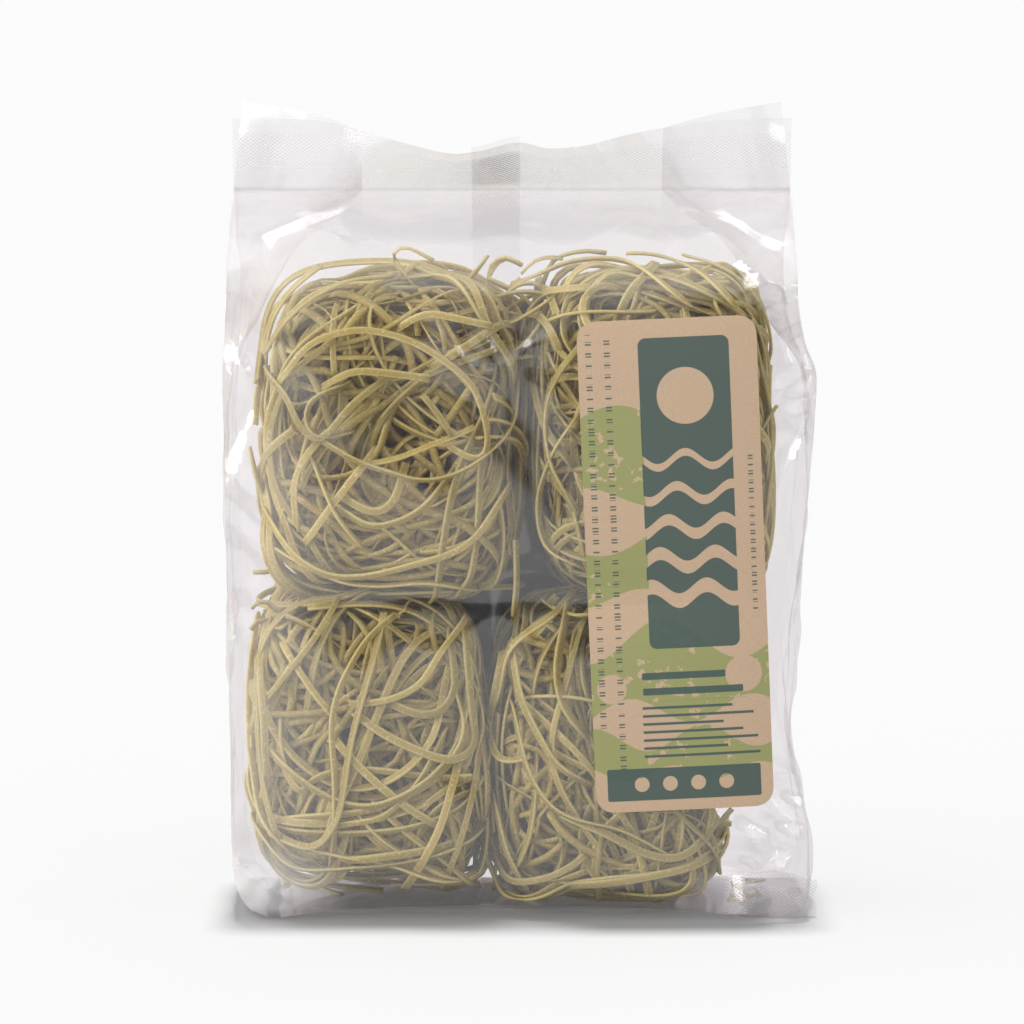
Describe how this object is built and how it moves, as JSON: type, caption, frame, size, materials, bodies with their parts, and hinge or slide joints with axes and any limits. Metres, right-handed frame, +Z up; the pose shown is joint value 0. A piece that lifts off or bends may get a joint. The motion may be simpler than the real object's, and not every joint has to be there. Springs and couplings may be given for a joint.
{
  "type": "sealed bag of dried rice noodle nests",
  "caption": "Clear side-gusseted plastic bag that stands upright, heat-sealed at the top, filled with nests of dried ribbon noodles, with a paper label on its front and one on its back.",
  "frame": {"origin": "middle of the base, on the surface that the bag stands on", "axes": "+Z up the bag towards its top seal, -Y out of the labelled front, +X to the right when facing the front"},
  "size_m": [0.1687, 0.0714, 0.232],
  "materials": {
    "clear_film": "gloss",
    "label_paper": "matte",
    "dried_noodle": "satin"
  },
  "bodies": {
    "root": {"bag": "clear_film", "label": "label_paper", "back_label": "label_paper"}
  },
  "joints": []
}
